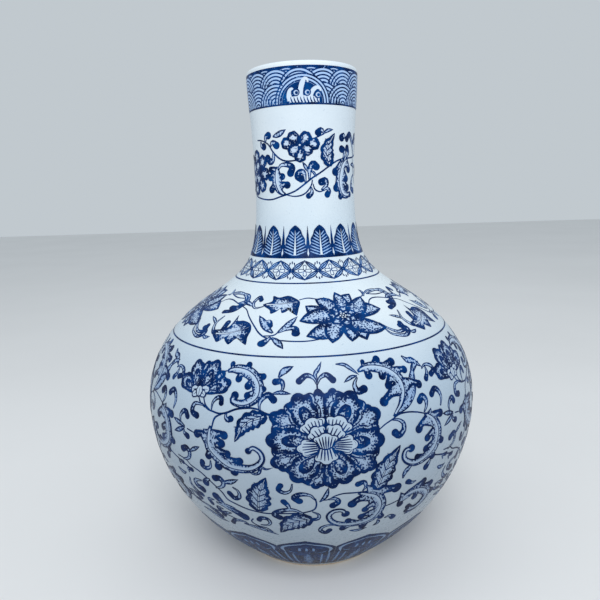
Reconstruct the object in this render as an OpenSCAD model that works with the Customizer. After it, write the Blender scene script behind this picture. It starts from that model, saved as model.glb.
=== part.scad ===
// Globular bottle vase in glazed porcelain.
// The clay body is luted from four thrown sections with thin slip joints, ruled with
// cobalt rings and coated with glaze everywhere but on the foot that it stands on.
// Origin: centre of the standing face. +Z is up.

/* [Outside shape] */
// Height from the standing face to the top of the lip
height = 330; // [328:0.5:336]
// Radius of the wall at the lower edge of the glaze
foot_r = 53.7; // [52:0.1:56]
// Slope of the wall where it leaves the foot, in degrees from level
foot_slope = 47; // [44:1:50]
// Widest radius of the belly
belly_r = 114.2; // [108:0.1:118]
// Height of the widest point
belly_z = 110; // [104:0.5:116]
// Radius where the shoulder turns from a dome into the neck
shoulder_r = 66; // [62:0.5:70]
// Height of that turning point
shoulder_z = 183.5; // [181:0.5:186]
// Slope of the shoulder there, in degrees from level
shoulder_slope = 33.5; // [30:0.5:37]
// Radius of the narrowest part of the neck
waist_r = 33.8; // [32:0.1:36]
// Height of the narrowest part
waist_z = 257; // [250:1:264]
// Radius just under the lip
mouth_r = 37; // [36:0.1:39]

/* [Walls] */
// Thickness of the wall, glaze included
wall = 4.4; // [4:0.1:5]
// Thickness of each glaze coat
glaze = 0.4; // [0.3:0.05:0.5]
// Height of the inside floor
floor_z = 17.5; // [17:0.5:19]
// Radius of the level part of the inside floor
floor_flat_r = 34; // [30:1:38]

/* [Foot] */
// Height of the bare clay left between the glaze and the standing face
bare_foot = 2.3; // [2:0.1:3]
// Outer radius of the standing face
stand_outer_r = 51.5; // [50.5:0.1:51.8]
// Inner radius of the standing face
stand_inner_r = 45.5; // [44:0.1:46.5]
// Radius of the hollow under the base, at its roof
recess_r = 44; // [42:0.1:44.5]

/* [Joints] */
// Thickness of each joint of slip between two sections
slip = 0.8; // [0.5:0.1:1]
// Height of the underside of the joint between foot ring and lower body
foot_joint_z = 9.6; // [9:0.1:10.5]
// Height of the joint between neck and upper body
neck_joint_z = 206; // [200:1:215]

/* [Cobalt rings] */
// Depth of the pigment in the clay under the glaze
pigment = 0.1; // [0.08:0.01:0.15]
// Width of a plain ring
ring_w = 0.9; // [0.6:0.1:1.2]
// Height of the ring under the lip
lip_ring_z = 326; // [325.5:0.1:326.5]
// Height of the ring under the band at the mouth
mouth_band_ring_z = 304.6; // [302:0.1:307]
// Height of the ring at the root of the neck
neck_ring_z = 209.9; // [208.5:0.1:211]
// Height of the ring at the top of the shoulder
collar_ring_z = 194.9; // [193:0.1:197]
// Height of the ring between shoulder and belly
shoulder_ring_z = 160.2; // [158:0.1:163]

/* [Hidden] */
$fn = 180;

steps = 14;              // straight pieces in each curved span
lip_steps = 8;           // straight pieces in each quarter of the lip
ring_zs = [lip_ring_z, mouth_band_ring_z, neck_ring_z, collar_ring_z, shoulder_ring_z];
foot_roof_z = foot_joint_z + slip;      // underside of the base
belly_joint_z = belly_z - slip / 2;
lip_r = wall / 2;                       // the lip is a half round over the wall
lip_z = height - lip_r;

// A span is four control points: its ends are places on the wall, and the two middle points
// pull the curve out along the wall's slope at each end. The pulls set how full each curve is.
foot_pull = 15;
belly_pull_down = 61;
belly_pull_up = 44;
dome_pull = 19;
root_pull = 32;
waist_pull_down = 50;
waist_pull_up = 26;
mouth_pull = 10;
inner_belly_pull = 58;
floor_pull = 30;
function direction(slope) = [cos(slope), sin(slope)];
foot_at = [foot_r, bare_foot];
belly_at = [belly_r, belly_z];
shoulder_at = [shoulder_r, shoulder_z];
waist_at = [waist_r, waist_z];
mouth_at = [mouth_r, lip_z];
inner_belly_at = [belly_r - wall, belly_z];
floor_at = [floor_flat_r, floor_z];
down_shoulder = direction(-shoulder_slope);
outside_spans = [
    [foot_at, foot_at + foot_pull * direction(foot_slope), belly_at - [0, belly_pull_down], belly_at],
    [belly_at, belly_at + [0, belly_pull_up], shoulder_at + dome_pull * down_shoulder, shoulder_at],
    [shoulder_at, shoulder_at - root_pull * down_shoulder, waist_at - [0, waist_pull_down], waist_at],
    [waist_at, waist_at + [0, waist_pull_up], mouth_at - [0, mouth_pull], mouth_at]
];
floor_span = [
    inner_belly_at, inner_belly_at - [0, inner_belly_pull], floor_at + [floor_pull, 0], floor_at
];

function along(s, t) = pow(1 - t, 3) * s[0] + 3 * pow(1 - t, 2) * t * s[1]
    + 3 * (1 - t) * pow(t, 2) * s[2] + pow(t, 3) * s[3];
function heading(s, t) = pow(1 - t, 2) * (s[1] - s[0]) + 2 * (1 - t) * t * (s[2] - s[1])
    + pow(t, 2) * (s[3] - s[2]);
function right_of(d) = [d[1], -d[0]] / norm(d);
function reverse(list) = [for (i = [len(list) - 1 : -1 : 0]) list[i]];

// A path is a list of [point on a surface, unit vector out of the wall there].
function path_of(spans) = [
    for (k = [0 : len(spans) - 1]) for (i = [(k == 0 ? 0 : 1) : steps])
        [along(spans[k], i / steps), right_of(heading(spans[k], i / steps))]
];
function lip_quarter(from) = [
    for (i = [1 : lip_steps]) let (d = direction(from + 90 * i / lip_steps))
        [[mouth_r - lip_r, lip_z] + lip_r * d, d]
];
function sunk(path, depth) = [for (s = path) s[0] - depth * s[1]];

wall_path = path_of(outside_spans);
outside_path = concat(wall_path, lip_quarter(0));
upper_inside = [for (s = reverse(wall_path)) if (s[0][1] > belly_z) [s[0] - wall * s[1], -s[1]]];
inside_path = concat(
    [outside_path[len(outside_path) - 1]], lip_quarter(90), upper_inside,
    path_of([floor_span]), [[[0, floor_z], [0, 1]]]
);

// Cross-section of all the clay, from the axis outwards
module clay_section() {
    polygon(concat(
        [[0, foot_roof_z], [recess_r, foot_roof_z], [stand_inner_r, 0], [stand_outer_r, 0]],
        sunk(outside_path, glaze),
        sunk(inside_path, glaze)
    ));
}

// Cross-section of the pigment under the glaze, at the heights given
module ring_section() {
    intersection() {
        polygon(concat(sunk(wall_path, glaze), reverse(sunk(wall_path, glaze + pigment))));
        for (z = ring_zs) translate([0, z - ring_w / 2]) square([belly_r, ring_w]);
    }
}

// The clay between two heights, turned round the axis
module clay(z_low, z_high) {
    rotate_extrude() difference() {
        intersection() {
            clay_section();
            translate([0, z_low]) square([belly_r, z_high - z_low]);
        }
        ring_section();
    }
}

module coat(path) {
    rotate_extrude() polygon(concat(sunk(path, 0), reverse(sunk(path, glaze))));
}

// The hollow under the base, less a margin all round
module recess_section(margin) {
    slant = (stand_inner_r - recess_r) / foot_roof_z;
    polygon([
        [0, bare_foot],
        [stand_inner_r - slant * bare_foot - margin, bare_foot],
        [recess_r - margin, foot_roof_z - margin],
        [0, foot_roof_z - margin]
    ]);
}

module foot_ring() { color("lightgray") clay(0, foot_joint_z); }
module lower_body() { color("whitesmoke") clay(foot_roof_z, belly_joint_z); }
module upper_body() { color("whitesmoke") clay(belly_joint_z + slip, neck_joint_z); }
module neck() { color("whitesmoke") clay(neck_joint_z + slip, height); }

module foot_slip_joint() { color("gainsboro") clay(foot_joint_z, foot_roof_z); }
module belly_slip_joint() { color("gainsboro") clay(belly_joint_z, belly_joint_z + slip); }
module neck_slip_joint() { color("gainsboro") clay(neck_joint_z, neck_joint_z + slip); }

module cobalt_rings() { color("midnightblue") rotate_extrude() ring_section(); }

module outer_glaze() { color("aliceblue") coat(outside_path); }
module inner_glaze() { color("aliceblue") coat(inside_path); }
module base_glaze() {
    color("aliceblue") rotate_extrude() difference() {
        recess_section(0);
        recess_section(glaze);
    }
}

foot_ring();
lower_body();
upper_body();
neck();
foot_slip_joint();
belly_slip_joint();
neck_slip_joint();
cobalt_rings();
outer_glaze();
inner_glaze();
base_glaze();
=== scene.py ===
import math
from contextlib import contextmanager

import bmesh
import bpy
import numpy as np
from mathutils import Matrix, Vector
from mathutils.bvhtree import BVHTree


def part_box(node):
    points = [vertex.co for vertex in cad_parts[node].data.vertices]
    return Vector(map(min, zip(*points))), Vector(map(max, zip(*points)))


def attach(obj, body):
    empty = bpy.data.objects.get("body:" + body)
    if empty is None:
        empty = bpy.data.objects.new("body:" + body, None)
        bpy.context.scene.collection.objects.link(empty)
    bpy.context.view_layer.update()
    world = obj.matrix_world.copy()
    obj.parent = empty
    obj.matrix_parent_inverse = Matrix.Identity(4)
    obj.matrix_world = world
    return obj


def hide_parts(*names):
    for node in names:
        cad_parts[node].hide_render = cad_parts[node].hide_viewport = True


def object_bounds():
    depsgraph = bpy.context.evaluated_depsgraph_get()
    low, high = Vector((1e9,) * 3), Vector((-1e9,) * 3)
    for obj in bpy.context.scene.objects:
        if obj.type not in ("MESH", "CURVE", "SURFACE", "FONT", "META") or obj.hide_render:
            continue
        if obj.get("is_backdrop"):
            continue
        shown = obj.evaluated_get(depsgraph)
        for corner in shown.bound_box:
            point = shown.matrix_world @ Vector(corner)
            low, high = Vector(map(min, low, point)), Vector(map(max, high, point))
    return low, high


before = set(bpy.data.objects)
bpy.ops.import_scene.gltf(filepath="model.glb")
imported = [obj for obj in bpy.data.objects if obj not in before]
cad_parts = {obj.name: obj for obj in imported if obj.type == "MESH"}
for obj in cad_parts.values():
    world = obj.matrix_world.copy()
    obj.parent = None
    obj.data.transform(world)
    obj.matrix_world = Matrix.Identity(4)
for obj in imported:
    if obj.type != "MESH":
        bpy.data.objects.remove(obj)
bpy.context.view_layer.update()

MM = 0.001
root = "root"

# Sizes in millimetres unless they say otherwise. Places on the vase are (degrees round from
# the front, positive to the right; height above the standing face).

PLATE_DEPTH = 0.08       # how far a painted shape goes down into the glaze
LAYER = 0.005            # each painted shape lies this much above the one before
AROUND = 320             # faces round the vase
CELL = 1.2               # widest cell of a painted shape
STEP = 0.85              # length of a stroke's faces
THINNEST = 0.06          # least half width of a stroke
GLAZE_COAT = 0.4         # thickness of the glaze
RINGS = [(326.4, 0.4), (304.6, 0.65), (209.9, 0.6), (194.9, 0.5), (160.2, 0.5)]   # height, half width


# ---------------------------------------------------------------- the wall of the vase

def station_heights(low, high):
    """Heights at which the wall is read: close together where it curves hard at its ends."""
    middle = np.arange(low + 6, high - 3, 6.0)
    return np.concatenate([[low + 0.02, low + 2.5], middle, [high]])


def node_tree(name):
    """Search tree of a CAD node, in metres."""
    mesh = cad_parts[name].data
    vertices = [v.co.copy() for v in mesh.vertices]
    return BVHTree.FromPolygons(vertices, [p.vertices[:] for p in mesh.polygons])


def radius_at(tree, z, from_inside=False):
    """Radius of a turned node at height z, read at several bearings from outside or inside."""
    best = 0.0
    axis = Vector((0, 0, z * MM))
    for bearing in np.linspace(0, 2 * math.pi, 48, endpoint=False):
        away = Vector((math.cos(bearing), math.sin(bearing), 0))
        hit = tree.ray_cast(axis, away) if from_inside else tree.ray_cast(axis + away, -away)
        if hit[0] is not None:
            best = max(best, hit[0].xy.length / MM)
    return best


def catmull_rom(points, per_span, closed=False):
    """Smooth curve through the points, with per_span pieces between each two."""
    p = np.asarray(points, float)
    if closed:
        p = np.concatenate([p[-1:], p, p[:2]])
    else:
        p = np.concatenate([2 * p[:1] - p[1:2], p, 2 * p[-1:] - p[-2:-1]])
    t = np.linspace(0, 1, per_span, endpoint=False)[:, None]
    spans = []
    for a, b, c, d in zip(p[:-3], p[1:-2], p[2:-1], p[3:]):
        spans.append(0.5 * (2 * b + (c - a) * t + (2 * a - 5 * b + 4 * c - d) * t ** 2
                            + (3 * b - a - 3 * c + d) * t ** 3))
    if not closed:
        spans.append(p[-2:-1])
    return np.concatenate(spans)


def respace(curve, step):
    """The same open curve with points about step apart."""
    along = np.concatenate([[0], np.cumsum(np.linalg.norm(np.diff(curve, axis=0), axis=1))])
    count = max(3, int(math.ceil(along[-1] / step)) + 1)
    places = np.linspace(0, along[-1], count)
    return np.stack([np.interp(places, along, curve[:, k]) for k in range(curve.shape[1])], 1)


outer_tree, inner_tree = node_tree("outer_glaze"), node_tree("inner_glaze")
glaze_low, height = (corner.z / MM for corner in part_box("outer_glaze"))
near_lip = height - 4
lip_r = (radius_at(outer_tree, near_lip) - radius_at(inner_tree, near_lip, True)) / 2
lip_z = height - lip_r
stations = [(radius_at(outer_tree, z), z) for z in station_heights(glaze_low, lip_z)]
wall = respace(catmull_rom(stations, 24), 0.5)
wall_r, wall_z = wall.T
wall_s = np.concatenate([[0], np.cumsum(np.hypot(np.diff(wall_r), np.diff(wall_z)))])
slope_r = np.gradient(wall_r, wall_s)
slope_z = np.gradient(wall_z, wall_s)


def arc_of(z):
    """Distance up the wall, measured along it, to height z."""
    return np.interp(z, wall_z, wall_s)


def on_wall(bearing, arc, lift):
    """Points in metres at bearings (radians) and arcs, lifted off the wall; and their normals."""
    r, z = np.interp(arc, wall_s, wall_r), np.interp(arc, wall_s, wall_z)
    out_r, out_z = np.interp(arc, wall_s, slope_z), -np.interp(arc, wall_s, slope_r)
    radius = r + lift * out_r
    point = np.stack([radius * np.sin(bearing), -radius * np.cos(bearing), z + lift * out_z], -1)
    normal = np.stack([out_r * np.sin(bearing), -out_r * np.cos(bearing), out_z], -1)
    return point * MM, normal


def circle(count):
    """Points of a circle of radius 1."""
    angle = np.linspace(0, 2 * math.pi, count, endpoint=False)
    return np.stack([np.cos(angle), np.sin(angle)], 1)


# ---------------------------------------------------------------- painted shapes

class Painting:
    """The painted shapes of one piece. They are drawn flat, in millimetres along the wall, and
    wrapped on to it as thin closed plates. Each plate lies a little above the one before.
    They keep their true width where the wall's radius is reference_r."""

    def __init__(self, reference_r, lift):
        self.reference_r = reference_r
        self.lift = lift
        self.rising = True
        self.vertices, self.normals, self.paint, self.faces = [], [], [], []
        self.count = 0

    def flat(self, points):
        """(degrees, height) to flat millimetres."""
        p = np.asarray(points, float)
        return np.stack([np.radians(p[..., 0]) * self.reference_r, arc_of(p[..., 1])], -1)

    def rise(self):
        if self.rising:
            self.lift += LAYER

    @contextmanager
    def same_level(self):
        """Shapes drawn inside share one level: they don't overlap, or are of one tone."""
        self.rising = False
        yield
        self.rising = True
        self.rise()

    @contextmanager
    def motif(self):
        """Shapes drawn inside start from the level they found and give it back, because motifs
        stand side by side."""
        start = self.lift
        yield
        self.lift = start

    def add(self, flat, lift, paint):
        """Wraps vertices on to the wall and returns their indices."""
        flat = flat.reshape(-1, 2)
        point, normal = on_wall(flat[:, 0] / self.reference_r, flat[:, 1], lift)
        self.vertices.append(point)
        self.normals.append(normal)
        self.paint.append(np.broadcast_to(paint, (len(flat), 2)))
        first = self.count
        self.count += len(flat)
        return np.arange(first, self.count)

    def plate(self, grid, paint, closed=False):
        """A grid of flat points as a closed plate. closed joins the last row to the first."""
        rows, columns = grid.shape[:2]
        paint = np.broadcast_to(paint, (rows, columns, 2))
        (ahead_x, ahead_y), (across_x, across_y) = grid[1, 0] - grid[0, 0], grid[0, -1] - grid[0, 0]
        if ahead_x * across_y > ahead_y * across_x:        # its back would show: turn it over
            grid, paint = grid[:, ::-1], paint[:, ::-1]
        top = self.add(grid, self.lift, paint.reshape(-1, 2)).reshape(rows, columns)
        under = self.add(grid[:, [0, -1]], -PLATE_DEPTH, paint[:, [0, -1]].reshape(-1, 2))
        under = under.reshape(rows, 2)
        pairs = [(i, i + 1) for i in range(rows - 1)] + ([(rows - 1, 0)] if closed else [])
        for i, j in pairs:
            for k in range(columns - 1):
                self.faces.append((top[i, k], top[i, k + 1], top[j, k + 1], top[j, k]))
            self.faces.append((top[i, 0], top[j, 0], under[j, 0], under[i, 0]))
            self.faces.append((top[j, -1], top[i, -1], under[i, 1], under[j, 1]))
            self.faces.append((under[i, 0], under[j, 0], under[j, 1], under[i, 1]))
        if not closed:
            self.faces.append((*top[0, ::-1], under[0, 0], under[0, 1]))
            self.faces.append((*top[-1], under[-1, 1], under[-1, 0]))
        self.rise()

    def fan(self, outline, centre, inks, wash=1.0):
        """A closed flat outline filled by rings that shrink to centre; inks from edge to centre."""
        size = np.linalg.norm(outline - centre, axis=1).max()
        rings = max(2, len(inks), int(math.ceil(size / (2 * CELL))))
        shares = np.linspace(1, 0, rings + 1)[:-1]
        tones = np.interp(1 - shares, np.linspace(0, 1, len(inks)), inks)
        top = [self.add(centre + (outline - centre) * share, self.lift, (tone, wash))
               for share, tone in zip(shares, tones)]
        middle = self.add(centre[None], self.lift, (inks[-1], wash))[0]
        under = self.add(outline, -PLATE_DEPTH, (inks[0], wash))
        n = len(outline)
        for i in range(n):
            j = (i + 1) % n
            for outer, inner in zip(top, top[1:]):
                self.faces.append((outer[i], outer[j], inner[j], inner[i]))
            self.faces.append((top[-1][i], top[-1][j], middle))
            self.faces.append((under[i], under[j], top[0][j], top[0][i]))
        self.faces.append(tuple(under[::-1]))
        self.rise()

    def stroke(self, points, widths, **look):
        """A band along a smooth line through places on the vase."""
        self.flat_stroke(self.flat(points), widths, **look)

    def flat_stroke(self, points, widths, ink=(1, 1), along=(0, 0), wash=1.0, grow=0.0, trim=0.0):
        """The same, through flat points. widths are half widths, evenly spread along the line.
        ink runs from the band's edges to its middle, and along adds to it from start to end.
        grow widens the band, and trim shortens it at both ends."""
        line = respace(catmull_rom(points, 12), STEP)
        if trim:
            cut = int(round(trim / STEP))
            line = line[cut:len(line) - cut] if len(line) > 2 * cut + 3 else line
        share = np.linspace(0, 1, len(line))
        half = np.interp(share, np.linspace(0, 1, len(widths)), widths) + grow
        half = np.maximum(half, THINNEST)
        tangent = np.gradient(line, axis=0)
        tangent /= np.linalg.norm(tangent, axis=1)[:, None] + 1e-12
        side = np.stack([-tangent[:, 1], tangent[:, 0]], 1)
        columns = 2 * max(1, int(math.ceil(half.max() / CELL)) + (1 if ink[0] != ink[1] else 0)) + 1
        across = np.linspace(1, -1, columns)
        grid = line[:, None] + side[:, None] * (half[:, None] * across)[..., None]
        tone = ink[1] + (ink[0] - ink[1]) * np.abs(across) ** 1.5
        tone = tone[None] + np.interp(share, [0, 1], along)[:, None]
        self.plate(grid, np.stack([np.clip(tone, 0, 1), np.full_like(tone, wash)], -1))

    def dot(self, place, radius, **look):
        """A round spot at a place on the vase."""
        self.flat_dot(self.flat(place), radius, **look)

    def flat_dot(self, centre, radius, inks=(1, 0.93), wash=1.0):
        self.fan(centre + radius * circle(max(10, int(radius * 8))), centre, inks, wash)

    def build(self, name, material, turn=0.0):
        """The mesh object, turned round the axis by so many degrees."""
        mesh = bpy.data.meshes.new(name)
        spin = np.array(Matrix.Rotation(math.radians(turn), 3, "Z")).T
        vertices = np.concatenate(self.vertices) @ spin
        normals = np.concatenate(self.normals) @ spin
        paint = np.concatenate(self.paint)
        mesh.from_pydata(vertices.tolist(), [], [tuple(int(i) for i in f) for f in self.faces])
        colours = mesh.color_attributes.new("paint", "FLOAT_COLOR", "POINT")
        rgba = np.concatenate([paint, np.zeros((len(paint), 1)), np.ones((len(paint), 1))], 1)
        colours.data.foreach_set("color", rgba.astype(np.float32).ravel())
        mesh.shade_smooth()
        mesh.normals_split_custom_set_from_vertices(normals.tolist())
        mesh.materials.append(material)
        piece = bpy.data.objects.new(name, mesh)
        bpy.context.scene.collection.objects.link(piece)
        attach(piece, root)
        return piece


# ---------------------------------------------------------------- motifs
# An ink is how dark a shape is, from 0 to 1, and a wash is how blue it is between the dots.

EDGE = 0.56              # width of the dark outline of a painted shape
SCROLL_EDGE = 0.65       # and of a scroll
SCROLL_WIDTH = 1.3       # how much fuller a scroll's trunk is than its drawn widths
KNOB_PULL = 0.12      # how far a scroll's knobs are pulled in along their necks


def draw(p, motif, rows):
    """Draws a motif for each row, which is its size and then the places that it passes."""
    for size, *path in rows:
        motif(p, size, *path)


def unit(vector):
    return vector / np.linalg.norm(vector)


def curl(p, head, *path):
    """A comma-shaped curl: a band that swells from a thin tail to a round dark head."""
    widths = head * np.array([0.24, 0.46, 0.7, 0.88, 0.95])
    with p.motif():
        p.stroke(path, widths)
        p.dot(path[-1], head)
        p.stroke(path, widths, ink=(0.55, 0.05), along=(-0.2, 0.8), wash=0.5, grow=-EDGE, trim=1.0)


def flame(p, half_width, *path, ink=(0.85, 0.3)):
    """A wisp that starts thin, swells and ends in a point."""
    widths = [0.25 * half_width, 0.8 * half_width, half_width, 0.7 * half_width, 0.05]
    with p.motif():
        p.stroke(path, widths)
        if half_width > 0.9:
            p.stroke(path, widths, ink=ink, wash=0.6, grow=-EDGE, trim=1.2)


def stem(p, half_width, *path):
    """A vine: one dark line."""
    with p.motif():
        p.stroke(path, [0.7 * half_width, half_width, 0.8 * half_width])


def scroll(p, widths, trunk, knobs, head=None):
    """An acanthus scroll: a stippled trunk with a pale rib, and round dark knobs on flared necks.
    Each knob is where its neck starts, where its head is, and its radius."""
    widths = [SCROLL_WIDTH * w for w in widths]
    line = catmull_rom(p.flat(trunk), 8)
    onward = np.gradient(line, axis=0)
    necks = []
    for base_x, base_z, tip_x, tip_z, radius in knobs:
        base, tip = p.flat((base_x, base_z)), p.flat((tip_x, tip_z))
        tip = tip - KNOB_PULL * (tip - base)
        along = unit(onward[np.argmin(np.linalg.norm(line - base, axis=1))])
        reach = np.interp(np.linalg.norm(tip - base), [3, 8], [0, 1])
        neck = np.array([base - 0.9 * radius * reach * along - 0.15 * (tip - base),
                         base + 0.5 * (tip - base) - radius * reach * along, tip])
        flare = 1 + 1.5 * reach
        neck_widths = radius * np.array([flare, 0.35 + 0.55 * flare, 0.95, 0.8])
        p.flat_stroke(neck, neck_widths)
        p.flat_dot(tip + 0.25 * radius * along, 1.12 * radius)
        necks.append((neck, neck_widths))
    p.stroke(trunk, widths)
    if head:
        p.dot(trunk[-1], 1.1 * head)
    for neck, neck_widths in necks:
        p.flat_stroke(neck, neck_widths * np.array([1, 0.97, 0.9, 0.6]), ink=(0.66, 0.12),
                      along=(-0.1, 0.5), wash=0.4, grow=-SCROLL_EDGE, trim=0.5)
    p.stroke(trunk, widths, ink=(0.72, 0.15), wash=0.4, grow=-SCROLL_EDGE, trim=0.8)

    left = np.stack([-onward[:, 1], onward[:, 0]], 1)
    left /= np.linalg.norm(left, axis=1)[:, None]
    turning = np.sign(np.sum(onward[:-1, 0] * onward[1:, 1] - onward[:-1, 1] * onward[1:, 0]))
    rib = [0.08 * w + 0.5 for w in widths]
    p.flat_stroke((line - 0.5 * turning * left)[::4], rib, trim=1.2)
    p.flat_stroke(line[::4], rib, ink=(0.1, 0), wash=0.3, grow=-0.12, trim=1.5)


def blade(p, outline, *rib):
    """A broad leaf with a lobed dark edge, a pale stippled middle and a rib."""
    edge = catmull_rom(p.flat(outline), 4, closed=True)
    ahead = np.roll(edge, -1, axis=0)
    if np.sum(edge[:, 0] * ahead[:, 1] - ahead[:, 0] * edge[:, 1]) < 0:
        edge = edge[::-1]
    centre = edge.mean(axis=0)
    out = edge - centre
    far = np.linalg.norm(out, axis=1)[:, None]
    inside = edge - out / far * np.minimum(0.85, 0.4 * far)
    p.fan(edge, centre, (1, 1))
    p.fan(inside, centre, (0.95, 0.7, 0.44, 0.26, 0.14), 0.4)
    p.stroke(rib, [0.75, 0.6, 0.3])
    p.stroke(rib, [0.75, 0.6, 0.3], ink=(0, 0), wash=0.2, grow=-0.36, trim=1.0)


def bowed(base, tip, bow):
    """Middle line and direction vectors of a shape from base to tip that bows to its left."""
    forward = tip - base
    left = np.array([-forward[1], forward[0]])
    return np.array([base, (base + tip) / 2 + bow * left, tip]), forward, left


def leaf(p, half_width, base, tip, bow=0.06, veins=4, teeth=5):
    """A pointed leaf with a toothed dark edge, a pale stippled middle and drawn veins."""
    rib, forward, left = bowed(p.flat(base), p.flat(tip), bow)
    profile = [0.35, 0.75, 0.96, 1.0, 0.93, 0.78, 0.55, 0.28, 0.04]
    fine = np.interp(np.linspace(0, 8, 57), range(9), profile)
    widths = half_width * fine * (0.86 + 0.24 * np.abs(np.sin(np.linspace(0, teeth * math.pi, 57))))
    p.flat_stroke(rib, widths)
    p.flat_stroke(rib, widths, ink=(0.8, 0.08), wash=0.4, grow=-1.3, trim=1.8)
    p.flat_stroke(rib, [0.75, 0.65, 0.35], trim=0.6)
    p.flat_stroke(rib, [0.32, 0.27, 0.1], ink=(0, 0), wash=0.2, trim=1.5)
    with p.same_level():
        for i in range(veins):
            share = 0.12 + 0.66 * i / veins
            for side in (-1, 1):
                start = rib[0] + share * forward + 4 * bow * share * (1 - share) * left
                reach = side * half_width * (0.85 - 0.45 * share) / np.linalg.norm(left)
                p.flat_stroke([start, start + 0.10 * forward + 0.55 * reach * left,
                               start + 0.17 * forward + reach * left], [0.42, 0.34, 0.16])


def petal(p, base, tip, half_width, inks, wash=1.0, lobes=0, depth=0.22, grow=0.0, waist=0.45,
          heel=0.6):
    """A petal, with inks from its edge to its middle. lobes scallop its tip, waist narrows its
    base, and heel is how far along it is widest."""
    length = np.linalg.norm(tip - base)
    forward = (tip - base) / length
    left = np.array([-forward[1], forward[0]])
    angle = np.linspace(-math.pi, math.pi, int(max(18, (length + half_width) * 1.7)), endpoint=False)
    reach = np.where(np.cos(angle) > 0, length * (1 - heel), length * heel) + grow
    x = reach * np.cos(angle)
    y = (half_width + grow) * np.sin(angle) * (1 - waist * (1 - np.cos(angle)) / 2)
    if lobes:
        front = np.clip((2.2 - np.abs(angle)) * 2, 0, 1)
        ripple = 1 + front * depth * (np.abs(np.cos(lobes * angle / 2)) - 0.6)
        x, y = x * ripple, y * ripple
    centre = base + forward * length * heel
    p.fan(centre + x[:, None] * forward + y[:, None] * left, centre, inks, wash)


def placed(p, x, z, rows):
    """Rows of base, tip and more, with base and tip given from (x, z) and made flat."""
    return [(p.flat((x + base[0], z + base[1])), p.flat((x + tip[0], z + tip[1])), *rest)
            for base, tip, *rest in rows]


def eye(p, base, tip, low, high, half_width):
    """A drop-shaped eye in a petal, between two shares of its length: pale at its point, dark
    and stippled at its round end."""
    start, end = base + low * (tip - base), base + high * (tip - base)
    line = [start, (start + end) / 2, end]
    widths = half_width * np.array([0.1, 0.36, 0.66, 0.88, 1, 1, 0.82, 0.4])
    p.flat_stroke(line, widths)
    p.flat_stroke(line, widths, ink=(0.72, 0.5), along=(-0.42, 0.35), wash=0.3, grow=-0.85, trim=1.0)


def flank(p, base, tip, half_width):
    """The turned-back edge of an outer petal, which shows as a pale line on each side of it."""
    petal(p, base, tip, 1.22 * half_width, (1, 1), lobes=7)
    petal(p, base, tip, 1.22 * half_width, (0.5, 0.28, 0.5, 0.6), wash=0.4, lobes=7, grow=-0.9)


def eye_petal(p, base, tip, half_width):
    """An outer petal of the great flower: scalloped, stippled towards its edge, with an eye."""
    petal(p, base, tip, half_width, (1, 1), lobes=7)
    petal(p, base, base + 0.95 * (tip - base), 0.97 * half_width, (0.92, 0.5, 0.26, 0.12, 0.05),
          wash=0.4, lobes=7, grow=-1.1)
    eye(p, base, tip, 0.16, 0.72, 0.37 * half_width)


def plain_petal(p, base, tip, half_width):
    """A petal that shows between the outer ones."""
    petal(p, base, tip, half_width, (1, 1), lobes=5, depth=0.18)
    petal(p, base, tip, half_width, (0.9, 0.58, 0.36, 0.2), wash=0.4, lobes=5, depth=0.18, grow=-1.5)


def hatched_petal(p, base, tip, half_width, hatch, lobes=5, line=0.44):
    """A white petal of the heart, with lines fanning out of its base."""
    shape = {"lobes": lobes, "depth": 0.32, "waist": 0.3, "heel": 0.55}
    petal(p, base, tip, 1.08 * half_width, (1, 1), **shape)
    petal(p, base, tip, 1.08 * half_width, (0, 0), wash=0.15, grow=-0.8, **shape)
    forward = tip - base
    left = np.array([-forward[1], forward[0]]) / np.linalg.norm(forward)
    with p.same_level():
        for i in range(hatch):
            side = 2 * i / (hatch - 1) - 1
            start = base + 0.08 * forward + left * side * half_width * 0.42
            end = base + forward * (0.8 - 0.16 * side ** 2) + left * side * half_width * 0.78
            p.flat_stroke([start, (start + end) / 2, end], [line * 0.6, line, line * 0.5])


def peony(p, x, z):
    """The great flower; x and z are where its heart is."""
    petal(p, p.flat((x, z - 24)), p.flat((x, z + 24)), 26, (1, 1), heel=0.5, waist=0)
    for row in placed(p, x, z, [
        ((-0.5, 8), (-2.0, 27.2), 5.6), ((0.5, 8), (2.6, 27.2), 5.8), ((-4, 6), (-15.6, 14.5), 7.0),
        ((4, 6), (15.6, 13.5), 8.4), ((-4, -6), (-15.4, -12.5), 7.4), ((5, -7), (13.8, -17.5), 7.4),
        ((-1, -12), (-3.6, -27.3), 5.6), ((0, -12), (1.8, -27.6), 5.6),
    ]):
        plain_petal(p, *row)
    outer = placed(p, x, z, [
        ((-2.6, 3), (-8.4, 24.8), 9.2), ((2.2, 3), (8.2, 24.8), 10.0), ((-2, 1), (-16.4, 1), 9.4),
        ((2, -1), (16.2, -2), 9.8), ((-1.8, -4), (-9.4, -22.2), 9.6), ((1.8, -4), (5.6, -24.8), 9.6),
    ])
    for row in outer:
        flank(p, *row)
    for row in outer:
        eye_petal(p, *row)
    for row in placed(p, x, z, [
        ((-2.2, 3), (-4.6, 13.2), 7.4, 7), ((2.0, 3), (4.6, 13.4), 7.6, 7),
        ((-0.6, -2), (-8.2, -3.2), 5.2, 6), ((1.0, -1.4), (8.6, -2.4), 5.8, 7),
        ((-0.8, 0), (-3.8, 8.4), 5.6, 5), ((0.8, 0), (3.6, 9.0), 5.8, 5),
        ((-0.3, -1), (-0.1, -12.6), 6.4, 6), ((-0.2, -4.2), (-0.3, 5.2), 6.6, 7),
    ]):
        hatched_petal(p, *row)


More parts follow.
